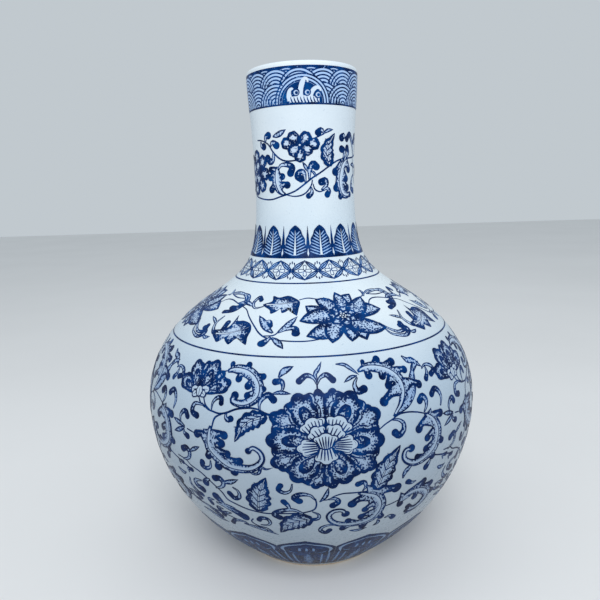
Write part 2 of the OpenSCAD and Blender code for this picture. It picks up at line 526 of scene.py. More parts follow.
def lotus(p, x, z):
    """A small flower seen from the side; x and z are where its heart is."""
    for base, tip, half in placed(p, x, z, [
        ((1.0, -1), (8.0, 10.5), 5.4), ((1.4, -1.2), (11.0, 6.2), 5.8), ((-1.4, -2), (-9.6, 4.2), 6.2),
        ((0, 0), (0.2, 14.5), 5.0), ((-0.8, -2), (-4.9, 14.0), 6.6), ((0.6, -2), (4.2, 15.5), 7.2),
    ]):
        petal(p, base, tip, half, (1, 1), lobes=5, depth=0.16)
        petal(p, base, tip, half, (0.95, 0.5, 0.2, 0.06), wash=0.4, lobes=5, depth=0.16, grow=-1.0)
        eye(p, base, tip, 0.2, 0.72, 0.38 * half)
    for row in placed(p, x, z, [
        ((-0.3, 0), (-3.6, -1.2), 3.0), ((0.3, 0), (4.0, 0.8), 3.0),
        ((-0.3, -1), (-2.6, -4.4), 2.6), ((0.3, -1), (2.8, -3), 2.6), ((0, -4.4), (0, 2), 3.0),
    ]):
        hatched_petal(p, *row, hatch=3, lobes=3, line=0.2)


def pointed_petal(p, base, tip, half_width, bow):
    """A pointed petal, dark at its edge and pale and stippled inside."""
    line = bowed(base, tip, bow)[0]
    profile = [0.4, 0.72, 0.94, 1, 1, 0.95, 0.8, 0.5, 0.04]
    widths = half_width * np.interp(np.linspace(0, 8, 33), range(9), profile)
    p.flat_stroke(line, widths)
    p.flat_stroke(line, widths, ink=(0.8, 0.3), along=(0.22, 0.0), wash=0.5, grow=-0.7, trim=1.6)


def seed(p, centre, radius, pale_radius, inks=(0.1, 0.0), wash=0.2):
    """A dark spot with a pale middle."""
    p.flat_dot(centre, radius)
    p.flat_dot(centre, pale_radius, inks=inks, wash=wash)


def star(p, x, z, tips):
    """A flower of pointed petals, each given by its tip, with two smaller whorls and a ring of
    seeds at its heart."""
    heart = p.flat((x, z))
    for order in (0, 1):
        for place in tips[order::2]:
            tip = p.flat(place)
            reach = np.linalg.norm(tip - heart)
            pointed_petal(p, heart, tip, 0.18 * reach + 1.6, 0.10 - 0.20 * order)
    for whorl, (reach, half_width) in enumerate([(9.6, 3.1), (6.2, 2.3)]):
        for k in range(7):
            angle = (k + 0.5 * whorl) * 2 * math.pi / 7 + 0.2
            out = np.array([math.cos(angle), 0.85 * math.sin(angle)])
            pointed_petal(p, heart + 0.5 * out, heart + (reach + 0.5 * (k % 3)) * out, half_width, 0.1)
    for out in circle(6):
        seed(p, heart + 1.7 * out, 0.9, 0.5, inks=(0.05, 0.0))
    seed(p, heart, 1.0, 0.5, wash=0.3)


def rosette(p, size, x, z, petals):
    """A small flower of round petals; each is given by how far it is from the heart."""
    heart = p.flat((x, z))
    shape = {"lobes": 7, "depth": 0.12, "waist": 0.25}
    for start, inks, look in [(1.25, (1, 1), {}),
                              (1.1, (1, 0.72, 0.36, 0.1), {"wash": 0.3, "grow": -0.6})]:
        for dx, dz in petals:
            middle = p.flat((x + dx, z + dz))
            out = unit(middle - heart)
            petal(p, middle - start * size * out, middle + size * out, size, inks, **shape, **look)
    seed(p, heart, 1.1, 0.6)


# ---------------------------------------------------------------- materials

class Finish:
    """A node material while it is made. Its textures lie in the object's own space, in metres."""

    def __init__(self, name):
        self.material = bpy.data.materials.new(name)
        self.material.use_nodes = True
        self.nodes, self.links = self.material.node_tree.nodes, self.material.node_tree.links
        self.shader = self.nodes["Principled BSDF"].inputs

    def feed(self, socket, value):
        """Gives a socket a number, a colour or what another node puts out."""
        if isinstance(value, (int, float)):
            socket.default_value = value
        elif isinstance(value, tuple):
            socket.default_value = (*value, 1)
        else:
            self.links.new(value, socket)

    def node(self, kind, **inputs):
        made = self.nodes.new("ShaderNode" + kind)
        for name, value in inputs.items():
            self.feed(made.inputs[name], value)
        return made

    def place(self):
        return self.node("TexCoord").outputs["Object"]

    def noise(self, scale, detail, rough=0.5):
        """Noise with so many waves per metre."""
        return self.node("TexNoise", Vector=self.place(), Scale=scale, Detail=detail,
                         Roughness=rough).outputs["Fac"]

    def ramp(self, source, *stops):
        """Colours along source, each stop a place and a colour."""
        made = self.node("ValToRGB", Fac=source)
        elements = made.color_ramp.elements
        while len(elements) < len(stops):
            elements.new(0.5)
        for element, (place, colour) in zip(elements, stops):
            element.position = place
            element.color = (*colour, 1)
        return made.outputs["Color"]

    def maths(self, operation, *values, clamp=False):
        made = self.node("Math")
        made.operation = operation
        made.use_clamp = clamp
        for socket, value in zip(made.inputs, values):
            self.feed(socket, value)
        return made.outputs[0]

    def mix(self, share, first, second, blend="MIX"):
        made = self.node("Mix")
        made.data_type = "RGBA"
        made.blend_type = blend
        for index, value in ((0, share), (6, first), (7, second)):
            self.feed(made.inputs[index], value)
        return made.outputs[2]

    def bump(self, waves, strength, distance, **under):
        """A surface that rises and falls with waves, by a distance in metres."""
        return self.node("Bump", Height=waves, Strength=strength, Distance=distance,
                         **under).outputs["Normal"]


def srgb(red, green, blue):
    """A colour given in 0 to 255, as the shader wants it."""
    def linear(c):
        c /= 255
        return c / 12.92 if c <= 0.04045 else ((c + 0.055) / 1.055) ** 2.4
    return tuple(linear(c) for c in (red, green, blue))


def grey(value):
    return (value, value, value)


WHITE = srgb(225, 234, 240)
WHITE_THICK = srgb(208, 221, 232)
SPECK = srgb(176, 190, 205)
PALE_BLUE = srgb(150, 188, 236)
MID_BLUE = srgb(30, 96, 164)
BRIGHT_BLUE = srgb(0, 80, 150)
NAVY = srgb(0, 50, 109)
INK = srgb(0, 24, 66)
GLAZE_SHINE, COBALT_SHINE = 0.14, 0.06     # how strongly the surface mirrors
DOTS = 900               # stippled dots, and specks in the glaze, per metre
CRISP = 5.5              # how sharply a dot ends
FULL = 0.42              # how much blue there is where a dot ends
SHADE_BY_HEIGHT = [              # painted shade: a darkening tint at shares of the vase's height, darkest low on the belly
    (0.1, (0.39, 0.42, 0.46)), (0.28, (0.47, 0.51, 0.56)), (0.44, (0.62, 0.69, 0.76)),
    (0.55, (0.99, 1.0, 0.99)), (0.68, (0.86, 0.9, 0.93)), (0.9, (1, 1, 1)),
]


def glazed(finish, specular):
    """Satin glaze: an uneven gloss, and a skin that waves softly like orange peel."""
    fine, broad = finish.noise(420, 2), finish.noise(55, 3)
    gloss = finish.ramp(fine, (0.3, grey(0.24)), (0.75, grey(0.36)))
    waves = finish.bump(broad, 0.18, 0.0004)
    finish.feed(finish.shader["Roughness"], gloss)
    finish.feed(finish.shader["Normal"], finish.bump(fine, 0.08, 0.0001, Normal=waves))
    finish.shader["IOR"].default_value = 1.5
    finish.shader["Specular IOR Level"].default_value = specular


def painted_shade(finish, colour):
    """The colour times painted shade by height: darker low on the wall, standing in for shade the lights
    don't give.
    """
    up = finish.node("SeparateXYZ", Vector=finish.place()).outputs["Z"]
    share = finish.maths("DIVIDE", up, height * MM, clamp=True)
    return finish.mix(1.0, colour, finish.ramp(share, *SHADE_BY_HEIGHT), "MULTIPLY")


def glaze_material():
    """White glaze, bluer where it is thicker, with fine specks in it, and painted shade that darkens it
    towards the bottom.
    """
    finish = Finish("white_glaze")
    # painted shade: the glaze colour is darkened by height, most low on the belly
    base = painted_shade(finish, finish.ramp(finish.noise(14, 3), (0.3, WHITE_THICK), (0.65, WHITE)))
    specks = finish.ramp(finish.noise(DOTS, 1), (0.24, SPECK), (0.29, (1, 1, 1)))
    finish.feed(finish.shader["Base Color"], finish.mix(0.35, base, specks, "MULTIPLY"))
    glazed(finish, GLAZE_SHINE)
    return finish.material


def cobalt_material():
    """Cobalt painted under the glaze. The paint attribute's red is how thickly it is stippled,
    and its green how strongly the ground between the dots is tinted."""
    finish = Finish("cobalt_under_glaze")
    paint = finish.node("Attribute")
    paint.attribute_name = "paint"
    parts = finish.node("SeparateColor", Color=paint.outputs["Color"]).outputs
    ink, tint = parts["Red"], parts["Green"]
    dots = finish.node("TexVoronoi", Vector=finish.place(), Scale=DOTS).outputs["Distance"]
    spread = finish.maths("MULTIPLY", dots, 1.15)
    reach = finish.maths("SUBTRACT", finish.maths("MULTIPLY", ink, 1.2), spread)
    cover = finish.maths("MULTIPLY_ADD", reach, CRISP, FULL, clamp=True)
    ground = finish.mix(tint, WHITE, PALE_BLUE)
    ground = finish.mix(finish.maths("MULTIPLY", ink, 0.35, clamp=True), ground, MID_BLUE)
    dark = finish.ramp(finish.noise(130, 3), (0.3, INK), (0.55, NAVY), (0.8, BRIGHT_BLUE))
    # painted shade: the cobalt colour is darkened by height, as the white glaze is
    finish.feed(finish.shader["Base Color"], painted_shade(finish, finish.mix(cover, ground, dark)))
    glazed(finish, COBALT_SHINE)
    return finish.material


def clay_material(name, pale, dark, grit):
    """Unglazed fired clay, dry and gritty, with grit grains per metre."""
    finish = Finish(name)
    grain = finish.noise(grit, 4, 0.65)
    patches = finish.ramp(finish.noise(60, 3), (0.3, dark), (0.7, pale))
    grains = finish.ramp(grain, (0.35, dark), (0.6, pale))
    finish.feed(finish.shader["Base Color"], finish.mix(0.4, patches, grains))
    finish.feed(finish.shader["Roughness"], finish.ramp(grain, (0.3, grey(0.75)), (0.7, grey(0.95))))
    finish.feed(finish.shader["Normal"], finish.bump(grain, 0.35, 0.0002))
    return finish.material


GLAZE = glaze_material()
COBALT = cobalt_material()
BARE_CLAY = clay_material("bare_clay", srgb(226, 214, 196), srgb(188, 164, 134), 1600)
PORCELAIN = clay_material("porcelain_body", srgb(238, 236, 230), srgb(222, 219, 212), 1200)
SLIP = clay_material("slip_joint", srgb(228, 224, 214), srgb(206, 200, 188), 900)

for node, clay in {
    "foot_ring": BARE_CLAY, "base_glaze": GLAZE, "lower_body": PORCELAIN,
    "upper_body": PORCELAIN, "neck": PORCELAIN, "foot_slip_joint": SLIP,
    "belly_slip_joint": SLIP, "neck_slip_joint": SLIP,
}.items():
    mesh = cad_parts[node].data
    mesh.materials.clear()
    mesh.materials.append(clay)


# ---------------------------------------------------------------- glaze coats

def turned(name, profile, node):
    """A closed profile of (radius, height) turned round the axis, standing for a glaze coat."""
    count = len(profile)
    angle = np.linspace(0, 2 * math.pi, AROUND, endpoint=False)[:, None]
    r, z = np.asarray(profile, float).T
    grid = np.stack([r * np.sin(angle), -r * np.cos(angle), z + 0 * angle], -1).reshape(-1, 3)
    faces = []
    for i in range(AROUND):
        a, b = i * count, (i + 1) % AROUND * count
        for k in range(count):
            n = (k + 1) % count
            faces.append((a + k, b + k, b + n, a + n))
    mesh = bpy.data.meshes.new(name)
    mesh.from_pydata((grid * MM).tolist(), [], faces)
    welded = bmesh.new()
    welded.from_mesh(mesh)
    bmesh.ops.remove_doubles(welded, verts=welded.verts, dist=1e-7)
    bmesh.ops.recalc_face_normals(welded, faces=welded.faces)
    welded.to_mesh(mesh)
    welded.free()
    mesh.shade_smooth()
    mesh.set_sharp_from_angle(angle=math.radians(50))
    mesh.materials.append(GLAZE)
    piece = bpy.data.objects.new(name, mesh)
    bpy.context.scene.collection.objects.link(piece)
    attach(piece, root)
    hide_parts(node)


def offset(profile, depth):
    """The profile moved to its left by depth."""
    along = np.gradient(profile, axis=0)
    along /= np.linalg.norm(along, axis=1)[:, None]
    return profile + depth * np.stack([-along[:, 1], along[:, 0]], 1)


def glaze_coats():
    """The coat outside, up to the top of the lip, and the coat inside, down to the floor."""
    centre = wall_r[-1] - lip_r
    turn = np.linspace(0, math.pi / 2, 9)[1:, None]

    def rim(side):
        """A quarter of the half-round lip, from its outer or inner side to its top."""
        return (centre, lip_z) + lip_r * np.concatenate([side * np.cos(turn), np.sin(turn)], 1)

    skin = np.concatenate([respace(np.stack([wall_r, wall_z], 1), 2.0), rim(1)])
    turned("outer_coat", np.concatenate([skin, offset(skin, GLAZE_COAT)[::-3]]), "outer_glaze")

    floor_z = inner_tree.ray_cast(Vector((0, 0, lip_z * MM)), Vector((0, 0, -1)))[0].z / MM
    heights = np.concatenate([floor_z + np.array([0.3, 1.2, 3]), np.arange(floor_z + 6, lip_z - 2, 5)])
    inside = [(radius_at(inner_tree, z, True), z) for z in heights] + [(centre - lip_r, lip_z)]
    inside = respace(catmull_rom(inside, 12), 2.5)
    flat = np.stack([np.linspace(0, inside[0, 0] - 1.5, 8), np.full(8, floor_z)], 1)
    skin = np.concatenate([flat, inside, rim(-1)])
    under = offset(skin, -GLAZE_COAT)
    under[0] = (0, floor_z - GLAZE_COAT)
    turned("inner_coat", np.concatenate([skin, under[:0:-3], under[:1]]), "inner_glaze")


glaze_coats()


# ---------------------------------------------------------------- ruled rings

def ruled_rings():
    """The five ruled lines round the vase."""
    p = Painting(50, 0.10)
    bearings = np.linspace(0, 2 * math.pi, AROUND, endpoint=False)
    for z, half in RINGS:
        across = arc_of(z) + half * np.array([-1, 0, 1])
        grid = np.stack(np.broadcast_arrays(bearings[:, None] * p.reference_r, across[None]), -1)
        p.plate(grid, (0.93, 1.0), closed=True)
    piece = p.build("cobalt_ruled_rings", COBALT)
    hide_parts("cobalt_rings")


ruled_rings()


# ---------------------------------------------------------------- the belly band

def belly_vines(p):
    draw(p, stem, [
        (0.55, (-36.3, 137), (-35, 133.5), (-33, 131.6)),
        (0.55, (-34.2, 137), (-33, 133), (-31, 130.6)),
        (0.45, (-31, 150.5), (-28.5, 151.5), (-26, 152.5)),
        (0.62, (-34.5, 133.5), (-32, 131), (-30, 130.3), (-27.5, 129.8), (-25, 131), (-22, 133.5),
         (-18, 134.8), (-15.5, 134.5), (-13.6, 133.2)),
        (0.5, (2, 144), (2, 148)),
        (0.6, (-26.5, 130), (-29, 127), (-30, 121)),
        (0.45, (-37, 115.5), (-40, 116.5)),
        (0.6, (-46, 96.5), (-42, 95.5), (-40, 93), (-36, 90.5), (-33, 87), (-31, 84), (-29, 80.5),
         (-27.5, 76), (-25, 74), (-22, 72), (-19.5, 71), (-15, 70.3), (-10, 71.3), (-6, 72), (-3, 72.8),
         (0, 75), (0.8, 78.5), (0.5, 83)),
        (0.5, (18.5, 120.5), (21, 123.5), (23.5, 125.5), (26, 127.5), (29, 127.5), (32, 126.3), (34, 125),
         (36, 123.5)),
        (0.6, (38, 97.5), (41, 95.3), (45, 93), (50, 90)),
        (0.5, (2, 81.5), (4.5, 82), (6, 84), (8.5, 85.3), (12, 85), (16, 84.7), (20, 84)),
        (0.5, (17.8, 88), (17, 85.5), (15, 84.5)),
        (0.5, (20.5, 70.5), (23, 70.5), (26, 71.5), (29, 73.5)),
        (0.6, (-20, 64), (-21, 61), (-19, 58), (-16, 57), (-14.3, 54)),
        (0.6, (-50, 70), (-46, 67.5), (-41, 64.5), (-36, 63), (-31, 62), (-25, 59)),
        (0.5, (-17, 70.5), (-18.5, 72.5)),
    ])
    flame(p, 0.8, (-14.6, 134), (-12.6, 132.4), (-10, 131.2), (-7.4, 131.6))
    flame(p, 1.5, (1.7, 80.5), (2.5, 82), (3.6, 85), (4.4, 90.5))
    flame(p, 1.1, (-19, 100), (-17, 97.7), (-15.3, 98.5), (-14.5, 102), (-13, 101.3), (-11, 102.5))


def belly_curls(p):
    draw(p, curl, [
        (1.7, (-30.5, 131), (-30.3, 135), (-29, 137.8), (-27.5, 138), (-27.3, 135.5)),
        (2.1, (-33.5, 132.6), (-37, 132.5), (-38, 129.5), (-37.7, 127), (-36, 126)),
        (1.9, (-25, 131), (-25.3, 129), (-24.7, 127.2), (-23.6, 128)),
        (2.1, (-14.6, 133.5), (-15, 137), (-14, 140.5), (-12.4, 142), (-10.8, 139.7)),
        (2.0, (-9, 143), (-8.2, 146), (-8.8, 148.7), (-10.7, 148.5)),
        (2.0, (2, 147), (1, 150.3), (-1.2, 151.6), (-3.4, 149)),
        (2.0, (2, 147), (3, 150.3), (5, 151.6), (6.9, 149)),
        (2.0, (-43, 119), (-43.3, 123), (-42, 126), (-40.7, 126.2), (-40, 124)),
        (2.0, (-41.5, 116), (-41.3, 113.5), (-39.8, 112)),
        (2.2, (-43.5, 95.3), (-40.5, 97.5), (-39.6, 101.5), (-40.8, 104), (-42.7, 102.5)),
        (2.0, (-31, 101), (-31.3, 97), (-33, 95), (-34.6, 96), (-34.3, 98.3)),
        (2.2, (0.5, 82), (-1.0, 85.3), (-3.8, 86), (-5.6, 83.6), (-4.2, 81.3)),
        (2.6, (-32.5, 87.5), (-33.8, 86.6), (-34.8, 84)),
        (2.2, (-31, 82.5), (-28.5, 84.5), (-27.5, 87.5), (-28.6, 90.3), (-30.5, 89.5)),
        (2.0, (-24.5, 86.3), (-22.8, 84), (-22.8, 80), (-24.6, 78.3), (-26, 81)),
        (1.7, (-5.9, 93), (-6.5, 88.5), (-8.3, 86.8), (-10, 88.7), (-9.3, 91.5)),
        (1.9, (-7, 73.5), (-7.6, 77.5), (-8.8, 80.5)),
        (2.2, (-2.5, 69), (-3.4, 72), (-5.7, 74.5), (-8.3, 74.5), (-11, 72.5), (-12.3, 69.8),
         (-10.7, 68)),
        (1.6, (-0.5, 73.5), (1.4, 71), (1.2, 67.7), (-0.8, 67)),
        (3.0, (-29.5, 68), (-30.3, 71.5), (-32, 75.5)),
        (1.8, (-18, 59.5), (-15.5, 60), (-14.3, 62.5), (-15, 65.5), (-17, 65.8), (-18, 63.7)),
        (1.8, (-22, 56), (-24, 59.3), (-27.8, 58.6), (-29.6, 55)),
        (3.2, (-33, 70.5), (-29.5, 69), (-26, 67), (-23, 64)),
        (2.3, (-41, 65), (-38, 63.5), (-35.5, 61), (-34, 58)),
        (2.0, (-46, 72), (-43, 71.5), (-40.5, 69)),
        (2.0, (-28, 64.5), (-31, 63), (-32, 60.5)),
        (2.3, (14.5, 149.3), (13.3, 146), (14, 142.5), (16, 143.3)),
        (2.3, (35, 125), (36.2, 128), (36.4, 131.5), (35.2, 133.8), (34, 132)),
        (2.1, (42.5, 125), (43.4, 130), (42.6, 134), (41, 135.5), (39.4, 133.3)),
        (2.2, (23.5, 125.3), (25.5, 124.5), (27, 122), (26.9, 118.3), (25.3, 115.9), (24, 117.9)),
        (1.9, (38.5, 147.5), (40.5, 149), (43, 147.8), (43.6, 145), (41.8, 143.5)),
        (1.8, (40.4, 148.5), (40.2, 145), (38.9, 142)),
        (2.3, (38, 95), (37.2, 92.8), (36.2, 90.5)),
        (1.9, (33, 83), (31.2, 82.8), (29.5, 84.5)),
        (1.8, (14.3, 85.5), (15.2, 88.3), (14.6, 91.3), (12.8, 90.5)),
        (2.2, (4.2, 82), (6.3, 82.2), (7.2, 79.7), (5.7, 77.5)),
        (1.9, (8, 61), (5, 61.7), (2.6, 60.2), (2, 57.2), (3.7, 54.8), (5, 57)),
        (2.2, (24, 60), (26, 60.5), (27.8, 58)),
        (1.6, (-41.5, 87), (-42, 89.5), (-40, 89.8)),
        (1.5, (-45.5, 90), (-46, 92.8), (-44, 92.5)),
        (2.5, (-36.5, 84.5), (-39.5, 83), (-39.8, 79.5), (-37.2, 77.5)),
        (2.0, (-42.5, 83), (-43, 78), (-40.8, 73.5), (-38.8, 72.5)),
        (1.9, (-33.5, 72), (-36, 71), (-35.5, 68)),
        (1.9, (-31, 66), (-33.3, 66.2), (-32.8, 63.3)),
        (1.7, (-45, 71), (-44.3, 67), (-42, 66)),
    ])
    draw(p, flame, [
        (1.3, (-11.5, 142.5), (-9, 143.4), (-5.6, 142.8)),
        (2.2, (-9.8, 150.5), (-8.4, 153.5), (-5.2, 156)),
        (1.4, (2.3, 148.5), (1.5, 152), (2.6, 154.5), (3.8, 158)),
        (1.7, (-41, 117), (-43.4, 114.5), (-46.5, 112)),
        (1.7, (-41, 117.5), (-43.6, 118.5), (-47, 120)),
        (1.5, (-39.6, 102.5), (-37.5, 105), (-34.8, 107.8)),
        (1.8, (-28, 88), (-25, 89.5), (-22, 92.3)),
        (1.3, (8.3, 156.3), (11, 155.8), (12.8, 153.8), (15.3, 150.3)),
        (1.3, (14.6, 150), (12.5, 149.5), (10.1, 147.3)),
        (2.2, (32.4, 156), (34, 153.4), (36, 152.6), (39, 148.3)),
        (2.0, (33.5, 145.5), (35.3, 149.5), (38.5, 151.7)),
        (1.8, (27.3, 88), (28, 92), (30.8, 97)),
        (1.6, (21.3, 60), (22, 57.2), (20.3, 55)),
        (2.0, (-31, 71.5), (-28.5, 69.8), (-25.5, 70)),
        (1.8, (-24.5, 57.5), (-20, 56.3), (-16.5, 54.6), (-12.5, 51.5)),
        (2.0, (-42, 60), (-38.5, 58.5), (-35, 55.5), (-31.5, 54)),
        (1.7, (-48, 86.5), (-45.5, 84.6), (-43.4, 85.8)),
        (1.4, (33, 56.5), (35.5, 57.8), (38.5, 57.2)),
        (1.5, (12, 54.5), (15, 53.6), (18.3, 54.6)),
    ])


def belly_scrolls_left(p):
    scroll(p, [0.8, 2.2, 2.7, 2.8, 2.8, 2.5, 2.0, 1.6, 1.4],
           [(-27.3, 151.8), (-24.6, 153.2), (-21, 152.8), (-18, 150.5), (-16, 146), (-16.2, 141),
            (-18.5, 137.5), (-21, 136.5), (-23.5, 137.5), (-23, 140.3)],
           [(-25.3, 153, -26.6, 155.7, 1.6), (-20.7, 153, -20.3, 156.3, 1.8),
            (-17.3, 149.5, -14.5, 151.2, 1.8), (-16.2, 145, -13.9, 145, 1.6),
            (-21.4, 151.8, -23.2, 148.5, 2.0), (-17.5, 148, -19.6, 145.8, 2.0),
            (-17, 142, -19.1, 141.2, 1.9)], head=2.2)
    scroll(p, [0.7, 1.9, 2.7, 3.0, 2.8, 2.4, 2.0, 1.6, 1.3, 1.1, 0.9],
           [(-30.3, 122), (-31, 115), (-30.5, 109), (-28, 104.5), (-25, 101), (-22, 100),
            (-18, 100.5), (-15.5, 103), (-14, 107), (-14.5, 111), (-16.5, 113.3), (-18, 111.3)],
           [(-30.9, 113.5, -24.9, 119.5, 2.2), (-30, 112, -26.2, 114, 2.3),
            (-28.5, 107, -24.4, 108.2, 1.9), (-24.5, 102, -20.6, 105, 1.9),
            (-31, 112, -36.2, 116.6, 2.2), (-29.5, 107, -32.1, 103.6, 2.0),
            (-26.5, 102.5, -28.7, 98.3, 2.2), (-23, 100.5, -23.2, 96.6, 2.2)], head=1.7)


def belly_scrolls_right(p):
    flame(p, 3.3, (24.5, 127.5), (29, 132.5), (31.8, 138.5), (33.3, 144.5), (35.6, 151.5),
          ink=(0.7, 0.25))
    scroll(p, [0.6, 1.9, 2.5, 2.8, 2.8, 2.6, 2.1, 1.6, 0.9, 0.4],
           [(15, 152), (18, 153.5), (21.5, 153), (25, 151), (27.5, 147.5), (28.7, 143),
            (28.5, 138), (27, 133), (25.5, 130), (24, 127)],
           [(17.6, 153.5, 17.2, 156.6, 1.3), (21.5, 153.3, 22.3, 157, 2.2),
            (25.3, 151, 27.6, 155, 2.3), (27.8, 147.5, 31.6, 150, 2.1),
            (28.8, 141, 33.4, 143.3, 1.6), (29, 140, 36, 141, 2.2),
            (18.8, 153, 18, 149, 2.1), (23.2, 151.5, 22.5, 148, 2.1),
            (27, 146, 23.6, 143.3, 2.2), (28, 139, 20.8, 135.7, 2.4)])
    scroll(p, [0.6, 2.1, 2.8, 3.0, 2.8, 2.4, 1.9, 1.5, 1.2, 1.0],
           [(35, 124), (38, 120), (39.7, 114), (39.8, 108), (38.5, 102), (35, 98), (31.5, 96.5),
            (28.5, 98.5), (27, 102), (27.5, 106), (29.5, 106.3)],
           [(38, 118.5, 31.5, 116.7, 2.3), (39, 110.5, 35.3, 110, 2.1),
            (38.3, 103.5, 35.1, 103.2, 2.1), (34, 98.3, 31.8, 100, 1.7),
            (38.6, 119, 42, 122, 2.2), (39.6, 106, 42.6, 104.5, 1.9),
            (37, 99.7, 38.8, 96.6, 2.2)], head=2.2)


def belly_scrolls_low(p):
    scroll(p, [0.6, 2.3, 3.1, 3.2, 2.9, 2.5, 2.1, 1.9, 1.6, 1.4, 1.2, 1.0],
           [(13, 84.5), (18, 81), (20.2, 76), (20.7, 70), (19.5, 64.5), (17, 61.5), (12, 60.7),
            (8, 62), (5.5, 65), (4.5, 69.5), (6, 73), (8.5, 73), (9.7, 70)],
           [(19, 80, 10.2, 77.2, 2.5), (20.3, 73, 15.3, 71.7, 2.1), (19.3, 65.5, 14.6, 66.5, 2.1),
            (13, 61.2, 10.8, 64.5, 1.9), (18.2, 81, 26.2, 83.2, 3.0),
            (19.8, 65, 22.8, 62.3, 2.1), (16.5, 61, 16.6, 57, 2.4), (11, 61, 9.5, 57.2, 2.1)],
           head=2.3)
    scroll(p, [0.8, 2.2, 2.7, 2.8, 2.4, 1.9, 1.3],
           [(28, 73), (32, 76), (36, 75), (39.5, 71), (40.5, 66), (38, 60.5), (33, 60)],
           [(34, 76, 36.7, 81, 2.1), (37.3, 74, 40.8, 76.5, 2.1), (40.2, 70, 43.2, 68.7, 2.1),
            (36.3, 74, 33.7, 70, 2.1), (34.5, 60, 33, 64, 1.9), (30.5, 75, 28, 67.5, 2.1)],
           head=1.8)


def belly_leaves(p):
    leaf(p, 5.0, (-12.6, 131.6), (-22.2, 115.5), bow=-0.16, teeth=6)
    leaf(p, 7.2, (-17.2, 71.5), (-13.4, 96), bow=0.06)
    leaf(p, 6.8, (-0.5, 68), (-11.6, 54.5), bow=-0.14, teeth=5)
    leaf(p, 6.5, (18.6, 84.5), (25.6, 110), bow=0.06)


def belly_lotus(p):
    lotus(p, -36.3, 140.5)


def belly_peony(p):
    peony(p, 4, 117.5)


# ---------------------------------------------------------------- the shoulder band

def shoulder_flower(p):
    star(p, 16, 178, [(16, 166), (8.5, 166), (-1, 169.5), (-4, 176.5), (-1.5, 183.5), (4, 186.5),
                      (9, 187.3), (16.5, 189.5), (25.5, 188), (31.5, 186), (37.5, 179), (33, 170),
                      (22, 166)])


def shoulder_scrolls(p):
    draw(p, stem, [
        (0.5, (-38, 182.5), (-33, 181), (-29, 178), (-24, 174), (-20, 170.5), (-16, 168.5), (-8, 167.5),
         (0, 167.5), (8, 169)),
        (0.5, (-5, 186.5), (0, 187.3), (6, 186.5)),
        (0.5, (32, 181), (36, 184), (42, 184.5), (52, 182.5)),
        (0.5, (-12, 172), (-14, 170), (-18, 169.5)),
        (0.5, (50, 186), (44, 186), (37, 187)),
    ])
    draw(p, curl, [
        (1.8, (-24, 183), (-28.5, 182), (-31.3, 184.5), (-29.7, 187.3), (-27.5, 186)),
        (2.3, (-12.5, 171.2), (-9, 173), (-5.8, 173.3), (-5.2, 171)),
        (2.0, (-20, 176), (-17.5, 176.3), (-16.8, 174.3)),
        (2.3, (-15, 169.3), (-16, 167.8), (-17.8, 166)),
        (1.9, (-58, 170), (-56, 166.8), (-50, 165), (-47, 167.5), (-49.6, 169.8)),
        (2.0, (-43, 176.8), (-44.8, 172.5), (-42, 168.5), (-38.5, 169.5), (-38, 174)),
        (2.0, (37, 187), (45, 188), (52, 187.3), (53.8, 184), (50, 181.5), (46.5, 181)),
        (1.7, (31, 173), (34, 169.5), (37.5, 167.3), (41.5, 168), (41.5, 171)),
        (1.8, (-58, 186), (-50, 188.5), (-41, 187.5), (-37.3, 184), (-40, 180), (-46, 178.5)),
    ])
    draw(p, flame, [
        (2.6, (-14.5, 171), (-17.5, 173), (-20, 175.5), (-23.8, 178.8)),
        (2.3, (-12.5, 171.5), (-9.5, 174), (-7.5, 176.2), (-5, 178.8)),
        (2.0, (-14.5, 169), (-12.5, 167.5), (-11, 166), (-9.3, 163.8)),
        (1.4, (34, 186), (35, 188), (33.5, 189.7)),
        (2.0, (48, 183.3), (54, 184.2), (61, 182.5)),
        (1.4, (-47, 166.5), (-45, 165.5), (-42.5, 166.3)),
        (1.3, (-44, 172), (-47, 174), (-51, 175.5)),
    ])
    blade(p, [(-21, 188.3), (-17, 187.6), (-12, 188.6), (-8, 187.6), (-4.5, 185.6), (-4.8, 182.5),
              (-5.5, 179), (-7.5, 181.6), (-9.2, 182.6), (-10.8, 181), (-13, 180.3), (-14.3, 182.2),
              (-16, 180.8), (-18.5, 179.8), (-20, 181.6), (-25, 183.8), (-20.5, 185.6)],
          (-23.5, 183.9), (-16, 184.4), (-9, 185.3), (-5, 185.6))
    blade(p, [(-34.8, 178), (-33.5, 175.5), (-30, 175.8), (-26, 174.6), (-24.3, 171.8),
              (-24.5, 168.5), (-24, 164.8), (-27.5, 167.2), (-29.5, 167), (-31.3, 164.2),
              (-33.6, 165.5), (-35, 166.6), (-37.3, 164.4), (-39.6, 165.8), (-41.5, 167.2),
              (-43, 169.5), (-38.5, 170.8), (-35.6, 172.8)],
          (-41, 168.2), (-35, 169), (-29.5, 171.2), (-25.5, 173.2))


# ---------------------------------------------------------------- the neck band

def neck_flowers(p):
    rosette(p, 4.3, -4, 280, [(-13, 1.2), (14, 0.4), (0, -6.3), (-6.2, 4.3), (5.6, 4), (-6, -3),
                              (7, -2.6)])
    rosette(p, 4.7, -68, 265, [(15, 6), (3, 9.5), (-11, 7), (-17, 0), (18, -1.5), (13, -8.5),
                               (0, -10.5), (-12, -8), (5, 3.4), (-5, 3), (5, -3.6), (-5, -3.4)])
    leaf(p, 4.6, (28.5, 266.5), (34.5, 287), bow=0.17, veins=4, teeth=5)


